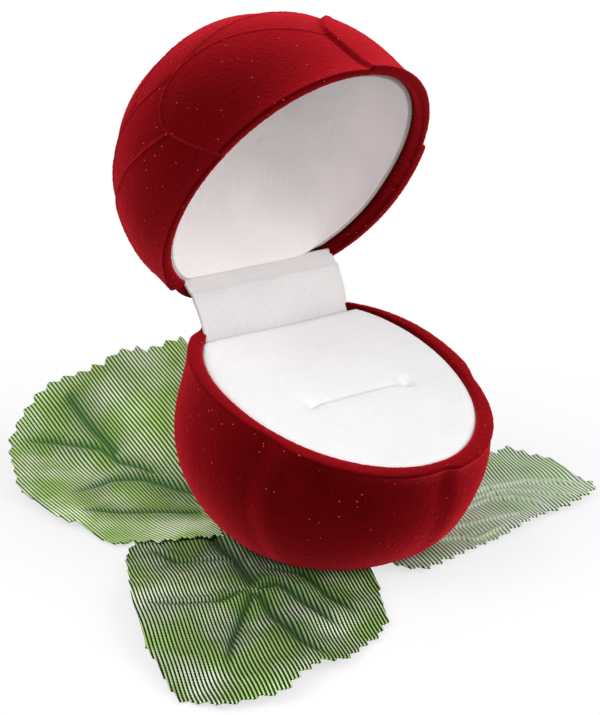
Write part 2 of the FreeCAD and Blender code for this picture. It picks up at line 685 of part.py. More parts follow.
def leaf(name):
    """A heat-set cloth leaf: a thin sheet, creased along folds that rise at their own slopes."""
    length = size[f"{name}_length"]
    thickness = size["leaf_thickness"]
    root = size["leaf_root"]
    half_root = size["leaf_root_width"] / 2
    edges = []
    for side, wide in ((1, "ccw"), (-1, "cw")):
        points = [Vector(root, side * half_root, 0)]
        for i, share in enumerate(STATIONS, start=1):
            points.append(Vector(share * length, side * size[f"{name}_{wide}_width{i}"], 0))
        points.append(Vector(length, 0, 0))
        curve = Part.BSplineCurve()
        curve.interpolate(points)
        edges.append(curve.toShape())
    edges.append(Part.makeLine(Vector(root, half_root, 0), Vector(root, -half_root, 0)))
    outline = doc.addObject("Part::Feature", f"{name}_outline")
    outline.Shape = Part.Face(Part.Wire(Part.__sortEdges__(edges)))
    blank = doc.addObject("Part::Extrusion", f"{name}_blank")
    blank.Base = outline
    blank.DirMode = "Custom"
    blank.Dir = AXIS
    blank.LengthFwd = length
    blank.Solid = True

    apex = Vector(size["fold_start"], 0, size["disc_thickness"])
    reach = FAR * length
    rays = []
    for fold, angle in FOLDS:
        slope = 0 if fold.endswith("flat") else size[f"{name}_{fold}_rise"] / length
        direction = Vector(math.cos(math.radians(angle)), math.sin(math.radians(angle)), slope)
        rays.append(apex + direction * reach)
    facets = []
    for i, (first, second) in enumerate(zip(rays, rays[1:] + rays[:1])):
        facet = doc.addObject("Part::Feature", f"{name}_facet{i}")
        facet.Shape = Part.Face(Part.makePolygon([apex, first, second, apex]))
        sheet_part = doc.addObject("Part::Extrusion", f"{name}_sheet{i}")
        sheet_part.Base = facet
        sheet_part.DirMode = "Custom"
        sheet_part.Dir = AXIS
        sheet_part.LengthFwd = thickness
        sheet_part.Solid = True
        facets.append(sheet_part)
    folded = boolean("Part::MultiFuse", f"{name}_folded", facets[0], facets[1:])
    node = boolean("Part::Common", name, blank, folded)
    node.Placement = Placement(Vector(), Rotation(AXIS, size[f"{name}_turn"]))
    return keep(node, name)


for leaf_name in LEAVES:
    leaf(leaf_name)

disc = doc.addObject("PartDesign::Body", "disc_body")
disc_sketch = disc.newObject("Sketcher::SketchObject", "disc_circle")
origin_planes = {feature.Role: feature for feature in disc.Origin.OriginFeatures}
disc_sketch.AttachmentSupport = [(origin_planes["XY_Plane"], "")]
disc_sketch.MapMode = "FlatFace"
circle = disc_sketch.addGeometry(Part.Circle(Vector(), AXIS, size["disc_radius"]), False)
disc_sketch.addConstraint(Sketcher.Constraint("Coincident", circle, 3, -1, 1))
disc_sketch.addConstraint(Sketcher.Constraint("Radius", circle, size["disc_radius"]))
disc_sketch.renameConstraint(1, "disc_radius")
disc_sketch.setExpression("Constraints.disc_radius", "Dimensions.disc_radius")
disc_pad = disc.newObject("PartDesign::Pad", "disc_pad")
disc_pad.Profile = disc_sketch
disc_pad.setExpression("Length", "Dimensions.disc_thickness")
keep(disc, "leaf_disc")


# ---- check and write --------------------------------------------------------------------------
doc.recompute()
for node in doc.Objects:
    if "Invalid" in node.State or "Error" in node.State:
        raise RuntimeError(f"{node.Name} failed: {node.State}")
os.makedirs("parts", exist_ok=True)
for name, node in parts.items():
    shape = node.Shape
    if shape.isNull() or not shape.isValid() or not shape.Solids:
        raise RuntimeError(f"{name} has no valid solid")
    shape.exportStep(f"parts/{name}.step")
    print(name, len(shape.Solids), "solids", round(shape.Volume, 1), "mm3")
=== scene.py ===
import math

import bpy
import numpy as np
from mathutils import Matrix, Vector


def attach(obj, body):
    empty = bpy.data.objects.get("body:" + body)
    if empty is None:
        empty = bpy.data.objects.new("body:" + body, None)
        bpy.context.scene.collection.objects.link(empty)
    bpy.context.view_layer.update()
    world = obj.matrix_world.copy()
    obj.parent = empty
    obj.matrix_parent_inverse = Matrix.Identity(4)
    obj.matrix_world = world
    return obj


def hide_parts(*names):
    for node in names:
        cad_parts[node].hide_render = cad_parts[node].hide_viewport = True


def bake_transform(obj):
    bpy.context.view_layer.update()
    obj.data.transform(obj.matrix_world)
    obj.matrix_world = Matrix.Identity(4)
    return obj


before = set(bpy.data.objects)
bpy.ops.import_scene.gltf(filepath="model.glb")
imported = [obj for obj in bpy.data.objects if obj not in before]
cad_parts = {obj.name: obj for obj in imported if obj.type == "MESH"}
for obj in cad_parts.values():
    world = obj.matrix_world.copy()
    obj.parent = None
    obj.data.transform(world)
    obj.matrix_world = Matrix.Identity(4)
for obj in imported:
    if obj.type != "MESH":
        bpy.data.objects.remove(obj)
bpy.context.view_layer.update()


# ---- The bowl --------------------------------------------------------------------------------
# The lower half of the rose: a shell moulded in plastic, 2.3 mm thick, with five petals in low
# relief. Deep red flock is blown on to its glued inside and outside, and hides the plastic.
MM = 0.001
chance = np.random.default_rng(7)
rim_height, rim_tilt = 25.55, math.radians(15.5)
rim_reach = (21.0, 26.4, 22.2)
back_corner = 2.25
shell_wall = 2.3
rim_set_down, rim_round_height = 0.013, 0.8
rim_round = (
    (0.03, 0.16), (0.09, 0.3), (0.18, 0.38), (0.35, 0.42), (0.5, 0.42),
    (0.65, 0.42), (0.82, 0.38), (0.91, 0.3), (0.97, 0.16), (1.0, 0.0),
)
bare_skin, inner_rows = 0.9, 30
petals_round, petal_start, petal_step = 5, -66.0, 0.9
foot_height, bowl_belly, bowl_belly_height, bowl_reach = 1.2, 23.4, 17.0, 20.88
bowl_turns = (-49.2, 24.2)
bowl_skin, knuckle_drop = 0.42, 0.075
bowl_hollows = (  # the turn, spread, level, tallness and depth of each
    (64, 40, 0.42, 0.3, 2.4), (142, 45, 1.0, 0.3, 1.3), (-125, 35, 0.9, 0.3, 0.5),
)


def smooth(low, high, value):
    """Runs softly from 0 at low to 1 at high."""
    way = np.clip((np.asarray(value, float) - low) / (high - low), 0, 1)
    return way * way * (3 - 2 * way)


def egg(turn, reach, inset):
    """Places on the rose's egg-shaped line whose outward side looks to turn, 0 in front."""
    side, front, back = reach
    turn = np.radians(turn)
    across, along = np.sin(turn), np.cos(turn)
    ahead = along > 0
    power = np.where(ahead, 2.0, back_corner)
    far = np.where(ahead, front, back)
    x = (side * np.abs(across)) ** (1 / (power - 1))
    y = (far * np.abs(along)) ** (1 / (power - 1))
    span = (x ** power + y ** power) ** (1 / power)
    x = np.copysign(side * x / span, across) - inset * across
    y = np.copysign(far * y / span, along) - inset * along
    return x, -y


def on_level(turn, height, radius, to_rim, inset, lift=0.0):
    """Places on a level of the rose, which tilts and swells out as it nears the rim."""
    swell = to_rim ** 4
    reach = [radius + (widest - radius) * swell for widest in rim_reach]
    x, y = egg(turn, reach, inset)
    lean = rim_tilt * to_rim
    return np.stack([
        x,
        y * np.cos(lean) - lift * np.sin(lean),
        height + y * np.sin(lean) + lift * np.cos(lean),
    ], -1)


def bowl_place(turn, share, inset, lift=0.0):
    """share runs from 0 at the foot to 1 at the rim."""
    swing = np.radians(bowl_turns[0] + share * (bowl_turns[1] - bowl_turns[0]))
    height = bowl_belly_height + bowl_reach * np.sin(swing)
    to_rim = np.clip((height - foot_height) / (rim_height - foot_height), 0, 1.05)
    return on_level(turn, height, bowl_belly * np.cos(swing), to_rim, inset, lift)


def petal_relief(turn, softness):
    """How far the overlapping petals stand out: each left edge over the last one's right."""
    share = (turn - petal_start) / (360 / petals_round) % 1.0
    past = (share + 0.5) % 1.0 - 0.5

    def plain(s):
        return 0.5 - s + 0.55 * np.sin(np.pi * s)

    stepped = plain(np.clip(share, softness, 1 - softness))
    below, above = plain(1 - softness), plain(softness)
    blend = below + (above - below) * smooth(-softness, softness, past)
    return np.where(np.abs(past) < softness, blend, stepped)


def shell_wall_places(place, start, tops, relief, floor, count, rows, nap, side, wall):
    """A petalled wall from its closed end to its round-edged rim, and back again inside.

    nap roughens it as flock does, and side is 1 where the rim is on top, or -1 below."""
    turn = np.arange(count) * 360.0 / count
    top = tops(turn) - side * rim_set_down
    rings = []
    for i in range(rows + 1):
        share = start + (top - start) * i / rows
        rings.append(place(turn, share, -relief(turn, share)))
    outer_at_rim = relief(turn, top)
    for way, lift in rim_round:
        inset = wall * way - outer_at_rim * (1 - way)
        rings.append(place(turn, top, inset, side * rim_round_height * lift))
    for i in range(1, inner_rows + 1):
        share = top + (floor - top) * i / inner_rows
        thick = wall + (shell_wall - wall) * smooth(0, 8, i)
        rings.append(place(turn, share, np.maximum(thick, bare_skin - relief(turn, share))))
    points = np.stack(rings)
    nearby = np.roll(points, 1, 1) - np.roll(points, -1, 1)
    upward = np.gradient(points, axis=0)
    out = np.cross(nearby, upward)
    out /= np.maximum(np.linalg.norm(out, axis=-1, keepdims=True), 1e-9)
    return points + out * chance.normal(0, nap, points.shape[:2])[..., None]


def closed_rings(name, points):
    """A closed skin through rings of places, with a middle point at each end."""
    rings, count = points.shape[:2]
    flat = points.reshape(-1, 3)
    ends = np.stack([points[0].mean(0), points[-1].mean(0)])
    corners = np.vstack([flat, ends]) * MM
    here = np.arange(rings * count).reshape(rings, count)
    after = np.roll(here, -1, 1)
    faces = np.stack([here[:-1], after[:-1], after[1:], here[1:]], -1).reshape(-1, 4).tolist()
    first, last = rings * count, rings * count + 1
    faces += [(int(b), int(a), first) for a, b in zip(here[0], after[0])]
    faces += [(int(a), int(b), last) for a, b in zip(here[-1], after[-1])]
    return new_piece(name, corners, faces)


def new_piece(name, corners, faces):
    """A smooth-shaded piece from its corners, in metres, and the faces between them."""
    mesh = bpy.data.meshes.new(name)
    mesh.from_pydata(np.asarray(corners).tolist(), [], faces)
    mesh.validate()
    mesh.shade_smooth()
    piece = bpy.data.objects.new(name, mesh)
    bpy.context.scene.collection.objects.link(piece)
    return piece


first_colour, second_colour, mixed_colour = 6, 7, 2  # sockets of Blender's Mix node


class Finish:
    """A material, written as a chain of texture nodes that ends in one glossy-to-matt shader."""

    def __init__(self, name, **sockets):
        self.material = bpy.data.materials.new(name)
        self.material.use_nodes = True
        self.tree = self.material.node_tree
        self.shader = self.tree.nodes["Principled BSDF"]
        self.place = self.node("ShaderNodeTexCoord").outputs["Object"]
        for socket, value in sockets.items():
            self.shader.inputs[socket.replace("_", " ")].default_value = value

    def node(self, kind, inputs=(), **settings):
        made = self.tree.nodes.new(kind)
        for setting, value in settings.items():
            setattr(made, setting, value)
        for socket, value in dict(inputs).items():
            self.feed(made.inputs[socket], value)
        return made

    def feed(self, socket, value):
        if isinstance(value, bpy.types.NodeSocket):
            self.tree.links.new(value, socket)
        else:
            socket.default_value = value

    def grain(self, size_mm, detail=2.0, stretch=(1, 1, 1), roughness=0.5):
        """Cloudy noise whose patches are about size_mm across."""
        put = self.node("ShaderNodeMapping", {"Vector": self.place, "Scale": stretch})
        return self.node("ShaderNodeTexNoise", {
            "Vector": put.outputs["Vector"], "Scale": 1 / (size_mm * MM), "Detail": detail,
            "Roughness": roughness,
        }).outputs["Fac"]

    def ramp(self, value, *stops):
        """Greys or colours laid along a value, each with the place where it stands."""
        made = self.node("ShaderNodeValToRGB", {"Fac": value})
        marks = made.color_ramp.elements
        while len(marks) < len(stops):
            marks.new(0.5)
        for mark, (position, colour) in zip(marks, stops):
            mark.position = position
            colour = colour if hasattr(colour, "__len__") else (colour,) * 3
            mark.color = (*colour, 1)
        return made.outputs["Color"]

    def mix(self, share, first, second, way="MIX"):
        """The second colour over the first, as far as the share says."""
        made = self.node("ShaderNodeMix", data_type="RGBA", blend_type=way)
        for socket, value in (("Factor", share), (first_colour, first), (second_colour, second)):
            if not isinstance(value, bpy.types.NodeSocket) and hasattr(value, "__len__"):
                value = (*value, 1)
            self.feed(made.inputs[socket], value)
        return made.outputs[mixed_colour]

    def sums(self, way, *values):
        """Blender's Math node, named by its operation."""
        made = self.node("ShaderNodeMath", operation=way)
        for socket, value in zip(made.inputs, values):
            self.feed(socket, value)
        return made.outputs[0]

    def attribute(self, name):
        return self.node("ShaderNodeAttribute", attribute_name=name).outputs["Fac"]

    def bump(self, height, depth_mm, strength=1.0):
        """Fine relief, on top of any that was given before."""
        made = self.node("ShaderNodeBump", {
            "Height": height, "Distance": depth_mm * MM, "Strength": strength,
        })
        if self.shader.inputs["Normal"].is_linked:
            self.feed(made.inputs["Normal"], self.shader.inputs["Normal"].links[0].from_socket)
        self.feed(self.shader.inputs["Normal"], made.outputs["Normal"])

    def colour(self, value):
        self.feed(self.shader.inputs["Base Color"], value)
        return self


def flock(name, colour, painted_sheen_colour, bright, sheen, tint, mottle):
    """Short fibres on end: matt face on, a painted sheen where the eye skims them, and odd bright
    ends.
    """
    finish = Finish(name, Roughness=0.95, Sheen_Weight=sheen, Sheen_Roughness=0.3,
                    Sheen_Tint=(*tint, 1), Specular_IOR_Level=0.02)
    brushed = finish.ramp(finish.grain(9.0, 3.0), (0.3, [c * (1 - mottle) for c in colour]),
                          (0.7, [c * (1 + mottle) for c in colour]))
    fine = finish.ramp(finish.grain(0.35, 3.0), (0.3, 1 - 1.6 * mottle), (0.75, 1 + mottle))
    nap_and_painted_sheen = finish.mix(1.0, brushed, fine, "MULTIPLY")
    cells = finish.node("ShaderNodeTexVoronoi", {"Vector": finish.place, "Scale": 1 / (0.5 * MM)})
    tone = finish.node("ShaderNodeSeparateColor", {"Color": cells.outputs["Color"]}).outputs[0]
    lone = finish.sums("GREATER_THAN", tone, 0.955)
    dot = finish.sums("LESS_THAN", cells.outputs["Distance"], 0.2)
    # Painted sheen: the colour is lightened towards the sheen colour where the surface is seen
    # edge-on.
    painted_sheen_share = finish.node("ShaderNodeLayerWeight", {"Blend": 0.5}).outputs["Facing"]
    painted_sheen_share = finish.sums("MULTIPLY", finish.sums("POWER", painted_sheen_share, 1.45), sheen)
    nap_and_painted_sheen = finish.mix(painted_sheen_share, nap_and_painted_sheen, painted_sheen_colour)
    finish.colour(finish.mix(finish.sums("MULTIPLY", lone, dot), nap_and_painted_sheen, bright))
    finish.bump(finish.grain(0.22, 2.0), 0.12, 0.9)
    return finish.material


red_flock = flock(
    "red_flock", (0.085, 0.0005, 0.0012), painted_sheen_colour=(0.55, 0.01, 0.018), bright=(0.62, 0.1, 0.09),
    sheen=1.0, tint=(1.0, 0.045, 0.07), mottle=0.2,
)


def at_hinge(turn):
    """1 where the rim makes room for the hinge's knuckles, 0 elsewhere."""
    x, y = egg(turn, rim_reach, 0)
    return smooth(9.5, 9.1, np.abs(x)) * (y > 0)


def bowl_top(turn):
    return 1 - knuckle_drop * at_hinge(turn)


def dent(turn, share, middle, spread, level, tall, depth):
    """A shallow pressed hollow round one place of a shell."""
    aside = (np.asarray(turn) - middle + 180) % 360 - 180
    return depth * np.exp(-(aside / spread) ** 2 - ((share - level) / tall) ** 2)


def bowl_relief(turn, share):
    """The petals in relief, and the hollows that the fingers find at the sides and the back."""
    petals = petal_step * (0.35 + 0.65 * share) * petal_relief(turn, softness=0.07)
    return petals - bowl_skin - sum(dent(turn, share, *hollow) for hollow in bowl_hollows)


bowl = closed_rings("bowl_shell", shell_wall_places(
    bowl_place, start=0.0, tops=bowl_top, relief=bowl_relief, floor=0.13, count=480, rows=100,
    nap=0.02, side=1, wall=2.55,
))
bowl.data.materials.append(red_flock)
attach(bowl, "base")
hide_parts("base_shell")


# ---- The hinge -------------------------------------------------------------------------------
# Two pressed steel leaves with rolled knuckles on a steel pin, each riveted to its half of the
# shell. They are solid metal pieces of the frame, so only their finish is made here.
hinge_steel = Finish("hinge_steel", Metallic=1.0, Roughness=0.34)
plating = hinge_steel.ramp(hinge_steel.grain(2.5, 4.0), (0.3, (0.42, 0.42, 0.44)),
                           (0.75, (0.66, 0.65, 0.64)))
hinge_steel.colour(plating)
hinge_steel.bump(hinge_steel.grain(0.3, 3.0, (1, 8, 8)), 0.03, 0.5)


def finish_solid(node, finish):
    """Gives a solid of the frame its finish."""
    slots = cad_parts[node].data.materials
    slots.clear()
    slots.append(finish.material)


hinge_pieces = ("hinge_base_plate", "hinge_lid_plate", "hinge_pin", "base_rivets", "lid_rivets")
for hinge_piece in hinge_pieces:
    finish_solid(hinge_piece, hinge_steel)


# ---- The hinge spring ------------------------------------------------------------------------
# A bowed strip of spring steel in the middle of the hinge, held behind the two leaves. It snaps
# the box open. It is built in one shape, bowed between the halves with the lid open.
hinge_line = np.array([0, 22.238, 30.679])
open_angle = math.radians(69)
spring_back, spring_foot, spring_head = 18.1, -5.2, 1.0
spring_bow, spring_half_width, spring_thickness, spring_steps = 2.8, 2.2, 0.3, 40


def from_rim(x, y, lift):
    """Places given from the middle of the parting plane: right, back and square to it."""
    x, y, lift = np.broadcast_arrays(*(np.asarray(v, float) for v in (x, y, lift)))
    sine, cosine = math.sin(rim_tilt), math.cos(rim_tilt)
    return np.stack([x, y * cosine - lift * sine, rim_height + y * sine + lift * cosine], -1)


def swung_open(places):
    """Where places on the shut lid stand when it is open."""
    sine, cosine = math.sin(-open_angle), math.cos(-open_angle)
    away = np.asarray(places, float) - hinge_line
    y = away[..., 1] * cosine - away[..., 2] * sine
    z = away[..., 1] * sine + away[..., 2] * cosine
    return np.stack([away[..., 0], y, z], -1) + hinge_line


def bowed_line(low, high, bow, steps):
    """Places on a soft bow in the middle plane, from low to high, pushed forward by bow."""
    chord = high - low
    forward = np.array([0, -chord[2], chord[1]]) / np.linalg.norm(chord)
    share = np.linspace(0, 1, steps)[:, None]
    return low + chord * share + forward * bow * 4 * share * (1 - share)


def ribbon(name, line, half_widths, columns, thick):
    """A thin strip along a line, of the given half-widths, closed all round."""
    face = np.cross(np.gradient(line, axis=0), [1.0, 0, 0])
    face /= np.linalg.norm(face, axis=1, keepdims=True)
    across = np.linspace(-1, 1, columns)[None, :, None] * np.array([1.0, 0, 0])
    middle = line[:, None, :] + across * half_widths[:, None, None]
    skin = face[:, None, :] * thick / 2
    return closed_rings(name, np.concatenate([middle + skin, (middle - skin)[:, ::-1]], axis=1))


spring_low = from_rim(0, spring_back, spring_foot)
spring_high = swung_open(from_rim(0, spring_back, spring_head))
spring_line = bowed_line(spring_low, spring_high, spring_bow, spring_steps)
hinge_spring = ribbon("hinge_spring_strip", spring_line, np.full(spring_steps, spring_half_width),
                      columns=6, thick=spring_thickness)
hinge_spring.data.materials.append(hinge_steel.material)
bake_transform(hinge_spring)
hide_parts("hinge_spring")


# ---- The pad's card --------------------------------------------------------------------------
# A die-cut grey card on the bowl's ribs, under the foam. It is a flat piece of the frame.
card_stock = Finish("card_stock", Roughness=0.85)
card_stock.colour(card_stock.ramp(card_stock.grain(0.8, 5.0, (1, 4, 1)),
                                  (0.3, (0.5, 0.47, 0.42)), (0.7, (0.62, 0.59, 0.54))))
card_stock.bump(card_stock.grain(0.3, 4.0), 0.05, 0.6)
finish_solid("pad_card", card_stock)


# ---- The ring pad ----------------------------------------------------------------------------
# A block of firm foam cut to the bowl's mouth and coated with white flock. Its rim is softly
# rounded, its top swells a little, and a knife slit across it grips the ring.
pad_back, pad_inset = 14.3, 2.6
pad_recess, pad_swell, pad_edge = 0.1, 0.9, 1.9
slit_forward, slit_half = 6.1, 8.75
slit_depth, slit_width, lips_dip, lips_width = 1.1, 0.16, 0.16, 1.1
pad_underside, pad_taper, skirt_rows = -12.1, 0.095, 24


def egg_half_width(y, reach, inset):
    """Half the width of the set-in egg at each distance back from its middle."""
    turn = np.linspace(0, 180, 721)
    x, line_y = egg(turn, reach, inset)
    return np.interp(y, line_y, np.maximum(x, 0))


def border(grid):
    """What stands along the four sides of a grid, in order."""
    return np.concatenate([grid[0, :], grid[1:-1, -1], grid[-1, ::-1], grid[-2:0:-1, 0]])


def grid_faces(numbers):
    corners = numbers[:-1, :-1], numbers[:-1, 1:], numbers[1:, 1:], numbers[1:, :-1]
    return np.stack(corners, -1).reshape(-1, 4)


pad_front = -(rim_reach[1] - pad_inset)
row_y = np.concatenate([
    pad_front + (-slit_forward - 1.5 - pad_front) * np.sin(np.linspace(0.02, math.pi / 2, 64)),
    np.linspace(-slit_forward - 1.45, -slit_forward + 1.45, 59),
    np.linspace(-slit_forward + 1.5, pad_back, 80),
])
pad_columns = 161
half = egg_half_width(row_y, rim_reach, pad_inset)
across = np.sin(np.linspace(-1, 1, pad_columns) * math.pi / 2)
pad_x = half[:, None] * across[None, :]
pad_y = np.repeat(row_y[:, None], pad_columns, 1)
outline_turn = np.linspace(-180, 180, 1441)
outline_x, outline_y = egg(outline_turn, rim_reach, pad_inset)
outline = np.stack([outline_x, outline_y], -1)[outline_y < pad_back + 0.2]
spots = np.stack([pad_x, pad_y], -1).reshape(-1, 1, 2)
to_edge = np.concatenate([
    np.linalg.norm(part - outline[None], axis=-1).min(1) for part in np.array_split(spots, 40)
]).reshape(pad_x.shape)
to_edge = np.minimum(to_edge, pad_back - pad_y)
rounded = np.clip(to_edge / pad_edge, 0, 1)
pad_lift = -pad_recess - pad_swell * (1 - np.sqrt(np.clip(1 - (1 - rounded) ** 2.2, 0, 1)))
pad_lift += 0.55 * smooth(0, 16, to_edge)
from_slit = np.abs(pad_y + slit_forward)
slit_end = smooth(slit_half + 0.5, slit_half - 0.6, np.abs(pad_x))
pad_lift -= slit_depth * np.exp(-(from_slit / slit_width) ** 2) * slit_end
pad_lift -= lips_dip * np.exp(-(from_slit / lips_width) ** 2) * slit_end
for side, depth in ((1, 0.95), (-1, 0.45)):
    aside = pad_x - side * (slit_half - 0.3)
    ahead = (pad_y + slit_forward - 0.4) / 1.2
    pad_lift -= depth * np.exp(-(aside ** 2 + ahead ** 2))
pad_lift += 0.1 * np.sin(pad_x * 0.31 + 1) * np.cos(pad_y * 0.27)
pad_lift += chance.normal(0, 0.012, pad_lift.shape)
top = from_rim(pad_x, pad_y, pad_lift)
rim_x, rim_y = border(pad_x), border(pad_y)
skirt = []
for i in range(1, skirt_rows + 1):
    share = i / skirt_rows
    pull = 1 - pad_taper * share
    lift = -(pad_recess + pad_swell) + (pad_underside + pad_recess + pad_swell) * share
    skirt.append(from_rim(rim_x * pull, np.minimum(rim_y * pull, pad_back), lift))
numbers = np.arange(pad_x.size).reshape(pad_x.shape)
pad_faces = grid_faces(numbers).tolist()
loop = border(numbers)
count = len(loop)
lower = loop
for ring in range(skirt_rows):
    upper, lower = lower, numbers.size + ring * count + np.arange(count)
    pad_faces += np.stack([upper, lower, np.roll(lower, -1), np.roll(upper, -1)], -1).tolist()
under = numbers.size + skirt_rows * count
pad_faces += [(int(b), int(a), under) for a, b in zip(lower, np.roll(lower, -1))]
pad_corners = np.vstack([top.reshape(-1, 3), *skirt, skirt[-1].mean(0)[None]]) * MM
ring_pad = new_piece("ring_pad_flocked", pad_corners, pad_faces)
ring_pad.data.materials.append(
    flock("white_flock", (0.81, 0.8, 0.805), painted_sheen_colour=(0.86, 0.85, 0.855), bright=(0.93, 0.93, 0.93),
          sheen=0.1, tint=(1.0, 1.0, 1.0), mottle=0.02)
)
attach(ring_pad, "base")
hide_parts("ring_pad")


# ---- The lid ---------------------------------------------------------------------------------
# The upper half of the rose, moulded and flocked as the bowl is. Two whorls of petals close round
# a bud, each left edge over its neighbour's right, with a thin turned lip along every edge.
lid_belly, lid_belly_height, lid_reach, lid_top = 24.0, 34.5, 21.3, 55.8
lid_turns = (-24.85, 90.0)
inner_petals, inner_start = 4, -47.0
bud_petals, bud_start = 3, -66.0
knuckle_rise = 0.014
lid_hollows = ((-118, 36, 0.34, 0.24, 2.1), (-148, 22, 0.0, 0.12, -1.2))
edge_softness, lip_height, lip_width, curl_height, curl_length = 0.22, 0.13, 0.3, 0.12, 1.8


def lid_place(turn, share, inset, lift=0.0):
    """share runs from 0 at the rim to 1 at the crown."""
    swing = np.radians(lid_turns[0] + share * (lid_turns[1] - lid_turns[0]))
    height = lid_belly_height + lid_reach * np.sin(swing)
    to_rim = np.clip((lid_top - height) / (lid_top - rim_height), 0, 1.05)
    return on_level(turn, height, lid_belly * np.cos(swing), to_rim, inset, lift)


def scallop(turn, start, count, valley, peak, lean):
    """The height of a whorl's edge: a round tip on every petal, and a dip between petals."""
    share = (turn - start) / (360 / count) % 1.0
    return valley + (peak - valley) * np.sin(np.pi * share ** lean)


def lapped(turn, start, count, softness):
    """How far the petals of a whorl stand out: each left edge over the last one's right."""
    share = (turn - start) / (360 / count) % 1.0
    past = (share + 0.5) % 1.0 - 0.5
    plain = 0.5 - share + 0.4 * np.sin(np.pi * share)
    soft = smooth(-softness, softness, past) - 0.5
    return np.where(np.abs(past) < softness, soft * (1 - 2 * softness), plain)


def lid_relief(turn, share):
    """Three layers of petals: the outer whorl over the inner whorl over the bud."""
    height = lid_place(turn, share, 0.0)[..., 2]
    front = (1 - np.cos(np.radians(turn))) / 2
    left = np.minimum((1 - np.cos(np.radians(turn + 30))) / 2 * 9, 4.2)
    outer_edge = scallop(turn, petal_start, petals_round, 31 + 4 * front, 38.3 + left, 0.7)
    second = (1 - np.cos(np.radians(turn - 5))) / 2
    inner_edge = scallop(turn, inner_start, inner_petals, 38.2 + 2.5 * second,
                         41.6 + 4 * second, 0.95)
    bud_edge = scallop(turn, bud_start, bud_petals, 43.6, 47.2, 0.9)
    swirl = ((share - 0.6) * 2.6 + turn / 360) % 1.0

    layers = []
    for edge, start, count, step, stand in (
        (outer_edge, petal_start, petals_round, 0.75, -0.15 - 0.2 * smooth(0, 0.3, share)),
        (inner_edge, inner_start, inner_petals, 0.6, -0.65),
        (bud_edge, bud_start, bud_petals, 0.55, -0.9),
    ):
        within = edge - height
        lip = lip_height * np.exp(-((within - lip_width) / lip_width) ** 2)
        curl = curl_height * np.exp(-np.maximum(within, 0) / curl_length)
        skin = stand + step * lapped(turn, start, count, softness=0.012) + lip + curl
        layers.append((smooth(-edge_softness, edge_softness, within), skin))
    crown = -1.15 + 0.5 * (0.5 - np.abs(2 * swirl - 1) ** 3) * smooth(0.99, 0.8, share)
    out = crown
    for cover, skin in reversed(layers):
        out = cover * skin + (1 - cover) * out
    return out - sum(dent(turn, share, *hollow) for hollow in lid_hollows)


def lid_rim(turn):
    return knuckle_rise * at_hinge(turn)


lid = closed_rings("lid_shell_rose", swung_open(shell_wall_places(
    lid_place, start=0.995, tops=lid_rim, relief=lid_relief, floor=0.8, count=720, rows=200,
    nap=0.02, side=-1, wall=1.5,
)))
lid.data.flip_normals()
lid.data.materials.append(red_flock)
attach(lid, "lid")
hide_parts("lid_shell")


# ---- The lid's lining ------------------------------------------------------------------------
# A white ribbed satin stretched over a pressed card former inside the lid, and glued down at the
# mouth. The card follows the satin closely and shows nowhere.
lining_back, lining_inset, lining_rows, lining_top = 16.9, 2.25, 70, 0.35
mouth_depth, side_depth, rim_to_crown = 1.0, 2.0, 40
rib_pitch, satin_thickness, card_thickness, glue_gap = 0.45, 0.3, 0.45, 0.02


def behind_cut(places, back, softness):
    """Holds places in front of a straight cut across the back, with soft corners."""
    sine, cosine = math.sin(rim_tilt), math.cos(rim_tilt)
    x, y, z = places[..., 0], places[..., 1], places[..., 2] - rim_height
    flat_y, lift = y * cosine + z * sine, z * cosine - y * sine
    held = back - softness * np.logaddexp(0, (back - flat_y) / softness)
    return from_rim(x, held, lift)


def cloth_white(name, tint):
    """A fine-ribbed white satin, its ribs running up the cloth from front to back."""
    finish = Finish(name, Roughness=0.6, Sheen_Weight=0.2, Sheen_Roughness=0.5,
                    Specular_IOR_Level=0.3)
    bands = finish.node("ShaderNodeTexWave", {
        "Vector": finish.place, "Scale": 2 * math.pi / (20 * rib_pitch * MM),
        "Distortion": 0.6, "Detail": 1.0, "Detail Scale": 0.4,
    }, wave_type="BANDS", bands_direction="X", wave_profile="SIN").outputs["Fac"]
    normal = finish.node("ShaderNodeNewGeometry").outputs["Normal"]
    sideways = finish.node("ShaderNodeSeparateXYZ", {"Vector": normal}).outputs["X"]
    pulled = finish.ramp(finish.sums("ABSOLUTE", sideways), (0.35, 0.0), (0.7, 1.0))
    bands = finish.sums("MAXIMUM", bands, pulled)
    # Painted shade: the colour darkens a little in the grooves between the ribs, and not where the
    # cloth faces sideways.
    painted_rib_shade = finish.ramp(bands, (0.15, [c * 0.93 for c in tint]), (0.7, tint))
    clouds = finish.ramp(finish.grain(9.0, 2.0), (0.3, 0.93), (0.7, 1.0))
    finish.colour(finish.mix(1.0, painted_rib_shade, clouds, "MULTIPLY"))
    finish.bump(bands, 0.07, 0.7)
    finish.bump(finish.grain(0.4, 2.0), 0.03, 0.4)
    return finish.material


lining_satin = cloth_white("lining_satin", (0.98, 0.915, 0.92))
turns = np.arange(360) * 1.0
deep_side = smooth(20, 100, turns) * smooth(165, 135, turns)
start = (mouth_depth + side_depth * deep_side) / rim_to_crown
lining_rings = []
for i in range(lining_rows):
    rise = i / (lining_rows - 0.5)
    inset = lining_inset + 0.9 * smooth(0, 0.5, rise) + 1.2 * deep_side * (1 - rise)
    wall = lid_place(turns, start + (lining_top - start) * rise, inset)
    wall = behind_cut(wall, lining_back - 0.5 - 0.8 * rise, 0.35 + 1.5 * rise)
    pull = (1 - rise ** 2.5) ** 0.4
    wall[..., 0] *= pull
    wall[..., 1] = (wall[..., 1] + 1.5) * pull - 1.5
    lining_rings.append(wall)
inner_skin = np.stack(lining_rings)
facing = np.cross(np.roll(inner_skin, -1, 1) - np.roll(inner_skin, 1, 1),
                  np.gradient(inner_skin, axis=0))
